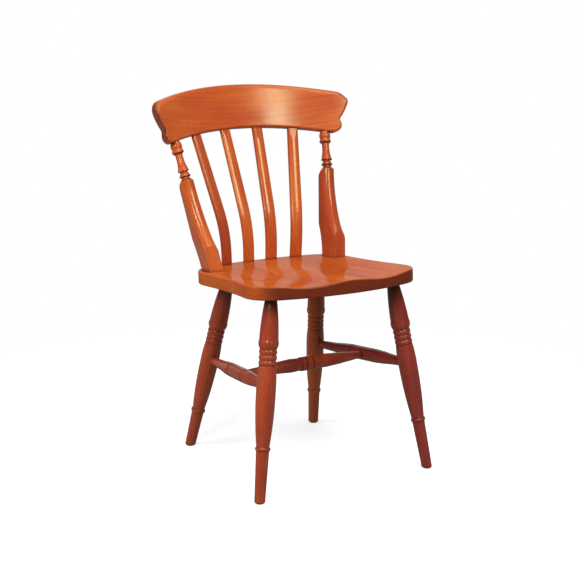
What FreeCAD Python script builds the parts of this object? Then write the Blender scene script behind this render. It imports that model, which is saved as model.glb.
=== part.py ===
import FreeCAD, Part
import math
import operator
import os
import types
import Sketcher
from FreeCAD import Matrix, Placement, Vector

# Slat back chair: saddled plank seat, turned legs and stretchers, two shaped posts,
# four bent slats and a curved crest rail. The chair faces -Y, +X is its left side,
# the floor is Z = 0. Millimetres and degrees.

doc = FreeCAD.newDocument("slat_back_chair")

SIZES = {
    # seat: height and place of its reference point, on the top face of the blank
    "seat_height": 447.4,
    "seat_place": -16.3,
    "seat_tilt": 4.1,
    "seat_thickness": 30.5,
    "seat_front_half": 216,
    "seat_front_corner": 196.5,
    "seat_front_bow": 462,
    "seat_front_round": 72,
    "seat_side_hollow": 1100,
    "seat_rear_half": 195,
    "seat_rear_corner": 133.4,
    "seat_rear_bow": 560,
    "seat_rear_round": 80,
    "seat_edge_round": 4,
    # two hollows in its top: their deepest places, and how they fade out
    "hollow_offset": 92,
    "hollow_place": 60,
    "hollow_depth": 10,
    "hollow_half_width": 110,
    "hollow_rear_reach": 150,
    "hollow_front_reach": 181,
    "hollow_front_depth": 6.7,
    "hollow_step": 14,
    "board_joint_inner": 60,
    "board_joint_outer": 136,
    # legs: where they meet the seat's underside, and how they spread
    "front_leg_x": 155.2,
    "front_leg_y": 170.4,
    "front_leg_splay": 8.38,
    "front_leg_rake": 7.71,
    "front_ring_drop": 127,
    "rear_leg_x": 119.3,
    "rear_leg_y": 90.2,
    "rear_leg_splay": 7.3,
    "rear_leg_rake": 13.6,
    "rear_ring_drop": 136,
    "leg_tenon_radius": 11,
    "leg_tenon_length": 19,
    "leg_top_radius": 12.3,
    "leg_top_bow": 700,
    "leg_vase_radius": 20.7,
    "leg_vase_rise": 37,
    "leg_lip_radius": 19.4,
    "leg_lip_rise": 20.5,
    "leg_groove_radius": 17.8,
    "leg_ring_pitch": 11.8,
    "leg_ring_width": 10.6,
    "leg_ring_round": 9,
    "leg_neck_radius": 18.8,
    "leg_swell_radius": 21.1,
    "leg_swell_drop": 66,
    "leg_neck_bow": 330,
    "leg_ankle_radius": 14.2,
    "leg_ankle_bow": 1000,
    "leg_bead_drop": 194.6,
    "leg_bead_width": 9,
    "leg_bead_round": 5.4,
    "leg_foot_radius": 11.2,
    "leg_foot_drop": 330,
    "leg_foot_round": 1.5,
    # glides under the feet
    "glide_radius": 9,
    "glide_thickness": 2.5,
    "glide_round": 0.8,
    "glide_pin_radius": 1.6,
    "glide_pin_length": 12,
    # stretchers: how far below the middle ring they enter the legs
    "side_drop": 61.5,
    "stretcher_tenon_radius": 8,
    "stretcher_tenon_depth": 13,
    "stretcher_start": 18,
    "barrel_radius": 15.9,
    "barrel_half": 35,
    "barrel_groove_depth": 1.6,
    "barrel_groove_pitch": 8,
    "barrel_groove_width": 3,
    "barrel_shift": 17,
    "taper_near": 70,
    "taper_near_radius": 14.6,
    "taper_middle": 100,
    "taper_middle_radius": 11.7,
    "taper_far": 141,
    "taper_far_radius": 9.9,
    "stretcher_end_radius": 8.5,
    "cross_forward": 22,
    "cross_tenon_radius": 6.5,
    "cross_tenon_depth": 9,
    "cross_start": 15,
    "collar_shift": 8,
    "collar_half": 20,
    "collar_radius": 16.2,
    "collar_groove_place": 9,
    "collar_groove_width": 4,
    "collar_groove_depth": 2,
    "cross_neck_radius": 14.2,
    "cross_swell_place": 45,
    "cross_swell_radius": 15.9,
    "cross_taper_place": 82,
    "cross_taper_radius": 13.5,
    "cross_thin_place": 117,
    "cross_thin_radius": 10.2,
    "cross_end_radius": 7.2,
    # posts: side view measured from the middle of the base, on the seat
    "post_x": 161.2,
    "post_y": 81,
    "post_toe": 4.2,
    "post_width": 32.3,
    "post_trim": 12,
    "post_front": 24.4,
    "post_hip_rear": 59,
    "post_rear": 24.2,
    "post_rear_bow": 218,
    "post_hip_rear_rise": 77,
    "post_stop": 10.4,
    "post_stop_rise": 61,
    "post_front_bow": 400,
    "post_shoulder_y": 71.6,
    "post_shoulder_rise": 204,
    "post_shoulder_depth": 33.5,
    "post_front_round": 15,
    "post_fade_length": 24,
    "post_runout_length": 36,
    "post_runout_round": 1,
    "post_rear_round": 5,
    "post_tenon_radius": 11,
    "post_tenon_length": 19,
    # turned top of a post, upwards from the groove over its shoulder
    "post_dome_drop": 29,
    "post_dome_radius": 24.4,
    "post_dome_round": 48,
    "post_groove_radius": 9.6,
    "post_cone_low": 2.4,
    "post_cone_rise": 5.2,
    "post_cone_radius": 13.6,
    "post_cone_length": 8.8,
    "post_waist_radius": 8.8,
    "post_waist_length": 3,
    "post_flare_radius": 13.4,
    "post_neck_bow": 90,
    # and downwards from the crest rail
    "post_neck_drop": 40,
    "post_neck_radius": 8.6,
    "post_collar_low": 30.5,
    "post_collar_drop": 25.5,
    "post_collar_width": 2,
    "post_collar_radius": 13.9,
    "post_bead_drop": 17.5,
    "post_bead_radius": 11.8,
    "post_bead_round": 16,
    "post_top_drop": 3.5,
    "post_top_radius": 11,
    "post_top_tenon_radius": 7,
    "post_top_tenon_length": 40,
    # crest rail: place of the middle of its lower edge
    "crest_height": 737.8,
    "crest_back": 240.9,
    "crest_lean": 18.8,
    "crest_radius": 430,
    "crest_thickness": 22,
    "crest_tall": 105.2,
    "crest_arch": 640,
    "crest_ear_reach": 259.5,
    "crest_ear_round": 26,
    "crest_ear_bow": 130,
    "crest_notch_reach": 232,
    "crest_notch_drop": 8,
    "crest_notch_round": 6,
    "crest_lobe_reach": 239,
    "crest_lobe_round": 16,
    "crest_edge_round": 4.5,
    "crest_top_round": 12,
    "post_top_x": 199,
    # slats
    "outer_slat_x": 92.5,
    "outer_slat_y": 141.5,
    "outer_slat_turn": 17,
    "outer_slat_top": 129,
    "inner_slat_x": 30,
    "inner_slat_y": 149.5,
    "inner_slat_turn": 5.5,
    "inner_slat_top": 43.2,
    "slat_width": 29.2,
    "slat_top_width": 26,
    "slat_thickness": 14.6,
    "slat_crown": 30,
    "slat_flat_length": 31,
    "slat_flat_depth": 1.4,
    "slat_bend_rise": 78,
    "slat_bend_radius": 270,
    "slat_foot_depth": 16,
    "slat_top_depth": 18,
    # screws and pins
    "screw_head_radius": 4.2,
    "screw_radius": 2.2,
    "screw_bite": 14,
    "screw_sink": 0.8,
    "crest_pin_radius": 1.6,
    "crest_pin_length": 15,
    "crest_pin_rise": 18,
    "crest_pin_sink": 0.5,
    # clearance all round between a tenon and its socket, and at the socket's end
    "fit_gap": 0.15,
    "end_gap": 0.6,
}

sheet = doc.addObject("Spreadsheet::Sheet", "sizes")
for row, (name, number) in enumerate(SIZES.items(), start=1):
    sheet.set(f"A{row}", name)
    sheet.set(f"B{row}", str(number))
    sheet.setAlias(f"B{row}", name)
doc.recompute()


class Size:
    """A number together with the sheet expression that gives it."""

    def __init__(self, value, text):
        self.value = float(value)
        self.text = text

    def combine(self, other, sign, work):
        other = sized(other)
        return Size(work(self.value, other.value), f"({self.text} {sign} {other.text})")

    def __add__(self, other):
        return self.combine(other, "+", operator.add)

    def __sub__(self, other):
        return self.combine(other, "-", operator.sub)

    def __mul__(self, other):
        return self.combine(other, "*", operator.mul)

    def __truediv__(self, other):
        return self.combine(other, "/", operator.truediv)

    def __neg__(self):
        return self * -1


def sized(number):
    if isinstance(number, Size):
        return number
    return Size(number, f"({number:.9f})")


def root(size):
    return Size(math.sqrt(size.value), f"sqrt({size.text})")


def sagitta(radius, half_chord):
    return radius - root(radius * radius - half_chord * half_chord)


S = types.SimpleNamespace(**{name: Size(sheet.get(name), f"sizes.{name}") for name in SIZES})
ZERO = sized(0)


def bind(thing, **amounts):
    for prop, amount in amounts.items():
        thing.setExpression(prop, sized(amount).text)


SIDES = {"left": 1, "right": -1}
FLAT = FreeCAD.Rotation()
# how far a cutting shape runs past the face it cuts
PAST = 20
# places nearer to each other than this are one place
TOUCH = 0.01
# least sine of the angle between two directions that span a plane
SPREAD = 0.1


def frame(point, x_axis, y_axis, z_axis):
    """Placement with its origin at a point and its axes along three unit vectors."""
    return Placement(Matrix(
        x_axis.x, y_axis.x, z_axis.x, point.x,
        x_axis.y, y_axis.y, z_axis.y, point.y,
        x_axis.z, y_axis.z, z_axis.z, point.z,
        0, 0, 0, 1))


def along(point, direction):
    """Placement at a point with its Z axis along a direction."""
    z_axis = Vector(direction).normalize()
    x_axis = Vector(0, 1, 0).cross(z_axis)
    if x_axis.Length < SPREAD:
        x_axis = Vector(1, 0, 0)
    x_axis.normalize()
    return frame(point, x_axis, z_axis.cross(x_axis), z_axis)


def moved(placement, x=0.0, y=0.0, z=0.0):
    """The placement moved along its own axes."""
    return placement.multiply(Placement(Vector(x, y, z), FLAT))


def upright(point, rearward, target):
    """Placement with Y along the rearward direction and the target in its YZ plane."""
    reach = target - point
    z_axis = (reach - rearward * reach.dot(rearward)).normalize()
    return frame(point, rearward.cross(z_axis), rearward, z_axis)


# Sketches and solids

def sketch_on(body, name, plane):
    planes = {part.Role: part for part in body.Origin.OriginFeatures}
    sketch = body.newObject("Sketcher::SketchObject", name)
    sketch.AttachmentSupport = (planes[plane], [""])
    sketch.MapMode = "FlatFace"
    return sketch


def arc_centre(start, end, radius):
    """Centre of the arc from start to end in the XY plane; a negative radius puts it on the right."""
    chord = end - start
    left = Vector(-chord.y, chord.x, 0).normalize()
    height = math.sqrt(radius ** 2 - chord.Length ** 2 / 4)
    return (start + end) * 0.5 + left * math.copysign(height, radius)


def draw(sketch, corners, arcs=None):
    """Closed outline through the corners; an arc follows each corner named in arcs.

    A positive radius bulges to the right of the way round, a negative one to the left.
    """
    arcs = arcs or {}
    corners = [(sized(x), sized(y)) for x, y in corners]
    points = [Vector(x.value, y.value, 0) for x, y in corners]
    starts, ends, rules = [], [], []
    for index, (start, end) in enumerate(zip(points, points[1:] + points[:1])):
        starts.append(1)
        ends.append(2)
        if index not in arcs:
            sketch.addGeometry(Part.LineSegment(start, end), False)
            continue
        radius = abs(arcs[index].value)
        centre = arc_centre(start, end, arcs[index].value)
        turn = math.copysign(1, arcs[index].value)
        first, last = (start, end) if turn > 0 else (end, start)
        if turn < 0:
            starts[-1], ends[-1] = 2, 1
        angles = [math.atan2(point.y - centre.y, point.x - centre.x) for point in (first, last)]
        if angles[1] < angles[0]:
            angles[1] += 2 * math.pi
        circle = Part.Circle(centre, Vector(0, 0, 1), radius)
        sketch.addGeometry(Part.ArcOfCircle(circle, *angles), False)
        positive = arcs[index] if turn > 0 else -arcs[index]
        rules.append((Sketcher.Constraint("Radius", index, radius), positive))
    for index, end in enumerate(ends):
        after = (index + 1) % len(points)
        sketch.addConstraint(Sketcher.Constraint("Coincident", index, end, after, starts[after]))
    for index, (spot, (x, y)) in enumerate(zip(starts, corners)):
        for kind, amount in (("DistanceX", x), ("DistanceY", y)):
            rule = Sketcher.Constraint(kind, -1, 1, index, spot, amount.value)
            rules.append((rule, amount))
    for rule, amount in rules:
        place = sketch.addConstraint(rule)
        sketch.setExpression(f"Constraints[{place}]", amount.text)


def new_body(name):
    return doc.addObject("PartDesign::Body", name)


def turned(name, corners, arcs=None):
    """Body turned about its own Z axis from (radius, height) corners."""
    body = new_body(name)
    sketch = sketch_on(body, f"{name}_outline", "XZ_Plane")
    draw(sketch, corners, arcs)
    turning = body.newObject("PartDesign::Revolution", f"{name}_turning")
    turning.Profile = sketch
    turning.ReferenceAxis = (sketch, ["V_Axis"])
    turning.Angle = 360
    return body


def padded(body, sketch, name, length, symmetric=True):
    pad = body.newObject("PartDesign::Pad", name)
    pad.Profile = sketch
    bind(pad, Length=length)
    if symmetric:
        pad.SideType = "Symmetric"
    return pad


def dress(body, kind, name, base, edges, **amounts):
    feature = body.newObject(f"PartDesign::{kind}", name)
    feature.Base = (base, edges)
    bind(feature, **amounts)
    doc.recompute()
    return feature


def cylinder(name, radius, height, placement):
    tool = doc.addObject("Part::Cylinder", name)
    bind(tool, Radius=radius, Height=height)
    tool.Placement = placement
    return tool


def box(name, length, width, height, placement):
    """Box centred on its placement's Z axis and rising from its origin."""
    tool = doc.addObject("Part::Box", name)
    bind(tool, Length=length, Width=width, Height=height)
    tool.Placement = moved(placement, -sized(length).value / 2, -sized(width).value / 2)
    return tool


def joined(name, shapes):
    if len(shapes) == 1:
        return shapes[0]
    fuse = doc.addObject("Part::MultiFuse", name)
    fuse.Shapes = shapes
    return fuse


def cut(name, base, tools):
    result = doc.addObject("Part::Cut", name)
    result.Base = base
    result.Tool = joined(f"{name}_tools", tools)
    return result


def common(name, first, second):
    result = doc.addObject("Part::Common", name)
    result.Base = first
    result.Tool = second
    return result


def rounded(name, base, wanted, radius_at):
    """Rounds the edges for which wanted(edge) holds, by radius_at(point) at each end of an edge."""
    doc.recompute()
    result = doc.addObject("Part::Fillet", name)
    result.Base = base
    result.Edges = [
        (number, radius_at(edge.Vertexes[0].Point).value, radius_at(edge.Vertexes[-1].Point).value)
        for number, edge in enumerate(base.Shape.Edges, start=1) if wanted(edge)]
    doc.recompute()
    return result


def edge_names(shape, wanted):
    return [f"Edge{number}" for number, edge in enumerate(shape.Edges, start=1) if wanted(edge)]


def middle(edge):
    return edge.valueAt((edge.FirstParameter + edge.LastParameter) / 2)


nodes = {}


def node(label, thing):
    thing.Label = label
    nodes[label] = thing
    return thing


# Reference frames of the seat and of the crest rail

TILT = math.radians(S.seat_tilt.value)
SEAT_UP = Vector(0, math.sin(TILT), math.cos(TILT))
SEAT_BACK = Vector(0, math.cos(TILT), -math.sin(TILT))
SEAT = frame(Vector(0, S.seat_place.value, S.seat_height.value), Vector(1, 0, 0), SEAT_BACK, SEAT_UP)


def on_seat(x, y, depth=0.0):
    """Point of the seat at x, y on the blank's top plane, or a depth below it."""
    return SEAT.multVec(Vector(x, y, -depth))


LEAN = math.radians(S.crest_lean.value)
CREST = frame(
    Vector(0, S.seat_place.value + S.crest_back.value, S.crest_height.value),
    Vector(1, 0, 0),
    Vector(0, math.cos(LEAN), -math.sin(LEAN)),
    Vector(0, math.sin(LEAN), math.cos(LEAN)))


def under_crest(x):
    """Point on the crest rail's lower edge, in the middle of its thickness."""
    fall = sagitta(S.crest_arch, sized(x)).value
    set_forward = sagitta(S.crest_radius, sized(x)).value
    return CREST.multVec(Vector(x, -set_forward, -fall))


# Legs: one turning, set at two angles and cut level at the floor

def leg_axis(row, side):
    x = getattr(S, f"{row}_leg_x").value * side
    y = getattr(S, f"{row}_leg_y").value * (-1 if row == "front" else 1)
    mouth = on_seat(x, y, S.seat_thickness.value)
    splay = math.tan(math.radians(getattr(S, f"{row}_leg_splay").value))
    rake = math.tan(math.radians(getattr(S, f"{row}_leg_rake").value))
    down = Vector(splay * side, -rake if row == "front" else rake, -1)
    return mouth, down.normalize()


def leg_outline(drop):
    """Leg corners from the tenon down, with the middle ring a drop below the seat."""
    corners = [
        (ZERO, S.leg_tenon_length),
        (S.leg_tenon_radius, S.leg_tenon_length),
        (S.leg_tenon_radius, ZERO),
        (S.leg_top_radius, ZERO),
        (S.leg_vase_radius, S.leg_vase_rise - drop),
        (S.leg_lip_radius, S.leg_lip_rise - drop),
    ]
    arcs = {3: -S.leg_top_bow, 4: -S.leg_vase_radius}
    half = S.leg_ring_width / 2
    rings = (1, 0, -1)
    for ring in rings:
        centre = S.leg_ring_pitch * ring - drop
        arcs[len(corners)] = -S.leg_ring_round
        corners.append((S.leg_groove_radius, centre + half))
        corners.append((S.leg_groove_radius, centre - half))
    bead = S.leg_bead_drop + drop
    bead_half = S.leg_bead_width / 2
    neck_drop = S.leg_ring_pitch * (len(rings) / 2) + drop
    arcs[len(corners)] = -S.leg_neck_bow
    corners.append((S.leg_neck_radius, -neck_drop))
    arcs[len(corners)] = -S.leg_ankle_bow
    corners.append((S.leg_swell_radius, -(S.leg_swell_drop + drop)))
    arcs[len(corners)] = -S.leg_bead_round
    corners.append((S.leg_ankle_radius, bead_half - bead))
    corners.append((S.leg_ankle_radius, -(bead + bead_half)))
    corners.append((S.leg_foot_radius, -(S.leg_foot_drop + drop)))
    corners.append((ZERO, -(S.leg_foot_drop + drop)))
    return corners, arcs


stretcher_points = {}
for row in ("front", "rear"):
    for word, side in SIDES.items():
        mouth, down = leg_axis(row, side)
        drop = getattr(S, f"{row}_ring_drop")
        stretcher_points[row, word] = mouth + down * (drop + S.side_drop).value

seat_sockets = []


def leg_parts(row, word):
    """A leg, its glide and its socket in the seat."""
    name = f"leg_{row}_{word}"
    other = "front" if row == "rear" else "rear"
    mouth, down = leg_axis(row, SIDES[word])
    placement = along(mouth, -down)
    turning = turned(f"{name}_turned", *leg_outline(getattr(S, f"{row}_ring_drop")))
    turning.Placement = placement

    glide_top = S.glide_thickness.value
    foot = mouth + down * ((mouth.z - glide_top) / -down.z)
    below = S.leg_bead_drop
    floor = box(f"{name}_floor", S.leg_foot_drop, S.leg_foot_drop, below,
                Placement(foot - Vector(0, 0, below.value), FLAT))
    inward = (stretcher_points[other, word] - stretcher_points[row, word]).normalize()
    tenon_end = S.stretcher_start - S.stretcher_tenon_depth - S.end_gap
    socket = cylinder(
        f"{name}_socket", S.stretcher_tenon_radius + S.fit_gap, S.leg_swell_radius * 2,
        along(stretcher_points[row, word] + inward * tenon_end.value, inward))
    pin_hole = cylinder(
        f"{name}_pin_hole", S.glide_pin_radius + S.fit_gap, S.glide_pin_length + S.end_gap,
        Placement(foot, FLAT))
    blank = cut(f"{name}_cut", turning, [floor, socket, pin_hole])

    def foot_edge(edge):
        return edge.BoundBox.ZMax < foot.z + TOUCH and edge.BoundBox.XLength > S.leg_foot_radius.value

    node(name, rounded(f"{name}_rounded", blank, foot_edge, lambda point: S.leg_foot_round))

    glide = turned(f"glide_{row}_{word}_turned", [
        (ZERO, -S.glide_thickness),
        (S.glide_radius - S.glide_round, -S.glide_thickness),
        (S.glide_radius, S.glide_round - S.glide_thickness),
        (S.glide_radius, ZERO),
        (S.glide_pin_radius, ZERO),
        (S.glide_pin_radius, S.glide_pin_length),
        (ZERO, S.glide_pin_length),
    ], {1: S.glide_round})
    glide.Placement = Placement(foot, FLAT)
    node(f"glide_{row}_{word}", glide)

    seat_sockets.append(cylinder(
        f"{name}_seat_socket", S.leg_tenon_radius + S.fit_gap,
        S.leg_tenon_length + S.end_gap + PAST, moved(placement, z=-PAST)))


for row, word in stretcher_points:
    leg_parts(row, word)


# Stretchers

def grooved(corners, radius, place, width, depth):
    """Adds a V groove centred at a place to a list of (radius, place) corners."""
    corners.append((radius, place - width / 2))
    corners.append((radius - depth, place))
    corners.append((radius, place + width / 2))


def side_outline(span):
    """Side stretcher corners from its rear end to its front end."""
    tip = span / 2 - S.stretcher_start
    end = tip + S.stretcher_tenon_depth
    shift = S.barrel_shift
    taper = (
        (S.taper_far, S.taper_far_radius),
        (S.taper_middle, S.taper_middle_radius),
        (S.taper_near, S.taper_near_radius),
    )
    rear_end = [
        (ZERO, -end),
        (S.stretcher_tenon_radius, -end),
        (S.stretcher_tenon_radius, -tip),
        (S.stretcher_end_radius, -tip),
    ]
    corners = rear_end + [(radius, shift - place) for place, radius in taper]
    outer = S.barrel_half + S.barrel_groove_pitch
    for place in (-outer, -S.barrel_half, S.barrel_half, outer):
        grooved(corners, S.barrel_radius, shift + place, S.barrel_groove_width, S.barrel_groove_depth)
    corners += [(radius, shift + place) for place, radius in reversed(taper)]
    return corners + [(radius, -place) for radius, place in reversed(rear_end)]


side_turnings = {}
cross_points = {}
for word in SIDES:
    rear, front = stretcher_points["rear", word], stretcher_points["front", word]
    reach = front - rear
    turning = turned(f"stretcher_side_{word}_turned", side_outline(sized(reach.Length)))
    turning.Placement = along((rear + front) * 0.5, reach)
    side_turnings[word] = turning
    cross_points[word] = (rear + front) * 0.5 + reach.normalize() * S.cross_forward.value

cross_vector = cross_points["left"] - cross_points["right"]
for word, side in SIDES.items():
    inward = (cross_vector * -side).normalize()
    tenon_end = S.cross_start - S.cross_tenon_depth - S.end_gap
    hole = cylinder(
        f"stretcher_side_{word}_hole", S.cross_tenon_radius + S.fit_gap, S.barrel_radius * 2,
        along(cross_points[word] + inward * tenon_end.value, inward))
    node(f"stretcher_side_{word}", cut(f"stretcher_side_{word}_cut", side_turnings[word], [hole]))


def cross_outline(span):
    """Cross stretcher corners from its right end to its left end."""
    tip = span / 2 - S.cross_start
    end = tip + S.cross_tenon_depth
    shift = S.collar_shift
    swell = (
        (S.cross_thin_place, S.cross_thin_radius),
        (S.cross_taper_place, S.cross_taper_radius),
        (S.cross_swell_place, S.cross_swell_radius),
        (S.collar_half, S.cross_neck_radius),
        (S.collar_half, S.collar_radius),
    )
    right_end = [
        (ZERO, -end),
        (S.cross_tenon_radius, -end),
        (S.cross_tenon_radius, -tip),
        (S.cross_end_radius, -tip),
    ]
    corners = right_end + [(radius, shift - place) for place, radius in swell]
    for place in (-S.collar_groove_place, S.collar_groove_place):
        grooved(corners, S.collar_radius, shift + place, S.collar_groove_width, S.collar_groove_depth)
    corners += [(radius, shift + place) for place, radius in reversed(swell)]
    return corners + [(radius, -place) for radius, place in reversed(right_end)]


cross = turned("stretcher_cross_turned", cross_outline(sized(cross_vector.Length)))
cross.Placement = along((cross_points["left"] + cross_points["right"]) * 0.5, cross_vector)
node("stretcher_cross", cross)

# Posts: flat and curved below, turned above, tenoned into the seat and the crest rail

crest_sockets = []
crest_pins = []
screws = []


def post_parts(word, side):
    name = f"post_{word}"
    toe = math.radians(S.post_toe.value)
    base = on_seat(S.post_x.value * side, S.post_y.value)
    target = under_crest(S.post_top_x.value * side)
    placement = upright(base, Vector(-math.sin(toe) * side, math.cos(toe), 0), target)
    local = placement.inverse().multVec(target)
    rise = local.z - S.post_shoulder_rise.value
    run = local.y - S.post_shoulder_y.value
    lean = math.degrees(math.atan2(run, rise))
    length = sized(math.hypot(run, rise))

    plank = new_body(f"{name}_plank")
    plank.Placement = placement
    half_depth = S.post_shoulder_depth / 2
    stop = Vector(-S.post_stop.value, S.post_stop_rise.value, 0)
    shoulder = Vector((S.post_shoulder_y - half_depth).value, S.post_shoulder_rise.value, 0)
    axis_tilt = Vector(math.sin(math.radians(lean)), math.cos(math.radians(lean)), 0)
    front_top = shoulder + axis_tilt * (half_depth.value * axis_tilt.x + S.post_cone_low.value)
    centre = arc_centre(front_top, stop, -S.post_front_bow.value)

    def on_front(distance):
        """Point of the front curve a distance above the stop."""
        turn = FreeCAD.Rotation(Vector(0, 0, 1), math.degrees((distance / S.post_front_bow).value))
        return centre + turn.multVec(stop - centre)

    fade = on_front(S.post_fade_length)
    runout = on_front(-S.post_runout_length)
    outline = sketch_on(plank, f"{name}_plank_outline", "YZ_Plane")
    draw(outline, [
        (sized(runout.x), -S.post_trim),
        (S.post_rear, -S.post_trim),
        (S.post_rear, ZERO),
        (S.post_hip_rear, S.post_hip_rear_rise),
        (S.post_shoulder_y + half_depth, S.post_shoulder_rise),
        (sized(front_top.x), sized(front_top.y)),
        (sized(fade.x), sized(fade.y)),
        (sized(runout.x), sized(runout.y)),
    ], {2: -S.post_rear_bow, 5: -S.post_front_bow, 6: -S.post_front_bow})
    padded(plank, outline, f"{name}_plank_pad", S.post_width)

    def here(point):
        return placement.inverse().multVec(point)

    def behind(place):
        """Whether a place lies behind the line from the base to the shoulder."""
        return place.y * S.post_shoulder_rise.value > place.z * S.post_shoulder_y.value

    def long_edge(edge):
        place = here(middle(edge))
        if abs(abs(place.x) - S.post_width.value / 2) > TOUCH:
            return False
        if behind(place):
            return place.z > S.post_hip_rear_rise.value
        return edge.Curve.TypeId == "Part::GeomCircle"

    def post_round(point):
        """Full along the front and running out below the stop, and less behind."""
        place = here(point)
        if behind(place):
            return S.post_rear_round
        at_end = place.z < runout.y + TOUCH
        return S.post_runout_round if at_end else S.post_front_round

    rounded_plank = rounded(f"{name}_rounded", plank, long_edge, post_round)

    before = new_body(f"{name}_before_stop")
    before.Placement = placement
    front_face = sketch_on(before, f"{name}_front_face", "YZ_Plane")
    front_slope = (S.post_front - S.post_stop) / S.post_stop_rise
    reach = S.post_front * 3
    draw(front_face, [
        (-S.post_stop, S.post_stop_rise),
        (-reach, S.post_stop_rise),
        (-reach, -S.post_trim * 2),
        (-(S.post_front + front_slope * S.post_trim * 2), -S.post_trim * 2),
    ])
    padded(before, front_face, f"{name}_before_stop_pad", S.post_width * 2)

    axis = placement.multiply(Placement(
        Vector(0, S.post_shoulder_y.value, S.post_shoulder_rise.value),
        FreeCAD.Rotation(Vector(1, 0, 0), -lean)))
    clear = S.post_dome_radius * 2
    around = turned(f"{name}_around_dome", [
        (S.post_groove_radius, ZERO),
        (S.post_dome_radius, -S.post_dome_drop),
        (clear, -S.post_dome_drop),
        (clear, S.post_dome_drop),
        (S.post_groove_radius, S.post_dome_drop),
    ], {0: -S.post_dome_round})
    around.Placement = axis
    domed = cut(f"{name}_domed", rounded_plank, [around, before])

    waist = S.post_cone_rise + S.post_cone_length
    flare = waist + S.post_waist_length
    top = turned(f"{name}_turned", [
        (ZERO, -S.post_dome_drop),
        (S.post_groove_radius, -S.post_dome_drop),
        (S.post_groove_radius, S.post_cone_low),
        (S.post_cone_radius, S.post_cone_rise),
        (S.post_waist_radius, waist),
        (S.post_waist_radius, flare),
        (S.post_flare_radius, flare),
        (S.post_neck_radius, length - S.post_neck_drop),
        (S.post_neck_radius, length - S.post_collar_low),
        (S.post_collar_radius, length - S.post_collar_drop),
        (S.post_collar_radius, length - S.post_collar_drop + S.post_collar_width),
        (S.post_bead_radius, length - S.post_bead_drop),
        (S.post_bead_radius, length - S.post_top_drop),
        (S.post_top_radius, length - S.post_top_drop),
        (S.post_top_radius, length),
        (S.post_top_tenon_radius, length),
        (S.post_top_tenon_radius, length + S.post_top_tenon_length),
        (ZERO, length + S.post_top_tenon_length),
    ], {6: -S.post_neck_bow, 11: S.post_bead_round})
    top.Placement = axis
    body = joined(f"{name}_body", [domed, top])

    seat_here = moved(SEAT, S.post_x.value * side, S.post_y.value)
    trim = box(f"{name}_trim", S.post_x, S.post_x, 2 * PAST, moved(seat_here, z=-2 * PAST))
    level = cut(f"{name}_level", body, [trim])
    tenon = cylinder(
        f"{name}_tenon", S.post_tenon_radius, S.post_tenon_length + S.post_trim,
        moved(seat_here, z=-S.post_tenon_length.value))
    whole = joined(f"{name}_whole", [level, tenon])

    axis_up = placement.Rotation.multVec(
        Vector(0, math.sin(math.radians(lean)), math.cos(math.radians(lean))))
    crest_sockets.append(cylinder(
        f"{name}_crest_socket", S.post_top_tenon_radius + S.fit_gap,
        S.post_top_tenon_length + S.end_gap + PAST, along(target - axis_up * PAST, axis_up)))
    seat_sockets.append(cylinder(
        f"{name}_seat_socket", S.post_tenon_radius + S.fit_gap,
        S.post_tenon_length + S.end_gap + PAST,
        moved(seat_here, z=-(S.post_tenon_length + S.end_gap).value)))

    # screw up through the seat into the tenon
    under = moved(seat_here, z=(S.screw_sink - S.seat_thickness).value)
    head = S.screw_head_radius - S.screw_radius
    web = S.seat_thickness - S.screw_sink - S.post_tenon_length
    screw = turned(f"{name}_screw", [
        (ZERO, ZERO),
        (S.screw_head_radius, ZERO),
        (S.screw_radius, head),
        (S.screw_radius, web + S.screw_bite - S.screw_radius),
        (ZERO, web + S.screw_bite),
    ])
    screw.Placement = under
    screws.append(screw)
    hole = turned(f"{name}_screw_hole", [
        (ZERO, sized(-PAST)),
        (S.screw_head_radius + S.fit_gap, sized(-PAST)),
        (S.screw_head_radius + S.fit_gap, ZERO),
        (S.screw_radius + S.fit_gap, head),
        (S.screw_radius + S.fit_gap, web + S.screw_bite + S.end_gap),
        (ZERO, web + S.screw_bite + S.end_gap),
    ])
    hole.Placement = under

    # pin from behind through the crest rail into the top tenon
    pin_centre = target + axis_up * S.crest_pin_rise.value
    rearward = CREST.Rotation.multVec(Vector(0, 1, 0))
    local_pin = CREST.inverse().multVec(pin_centre)
    back_face = math.sqrt((S.crest_radius + S.crest_thickness / 2).value ** 2 - local_pin.x ** 2)
    depth = back_face - S.crest_radius.value - local_pin.y
    mouth = pin_centre + rearward * (depth - S.crest_pin_sink.value)
    pin = cylinder(f"{name}_pin", S.crest_pin_radius, S.crest_pin_length, along(mouth, -rearward))
    crest_pins.append(pin)
    pin_hole = cylinder(
        f"{name}_pin_hole", S.crest_pin_radius + S.fit_gap, S.crest_pin_length + S.end_gap + PAST,
        along(mouth + rearward * PAST, -rearward))
    crest_sockets.append(pin_hole)
    seat_sockets.append(hole)
    node(name, cut(f"{name}_bored", whole, [hole, pin_hole]))


for word, side in SIDES.items():
    post_parts(word, side)

# Slats: one bent bar, turned to face the middle and let into the seat and the crest rail


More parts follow.
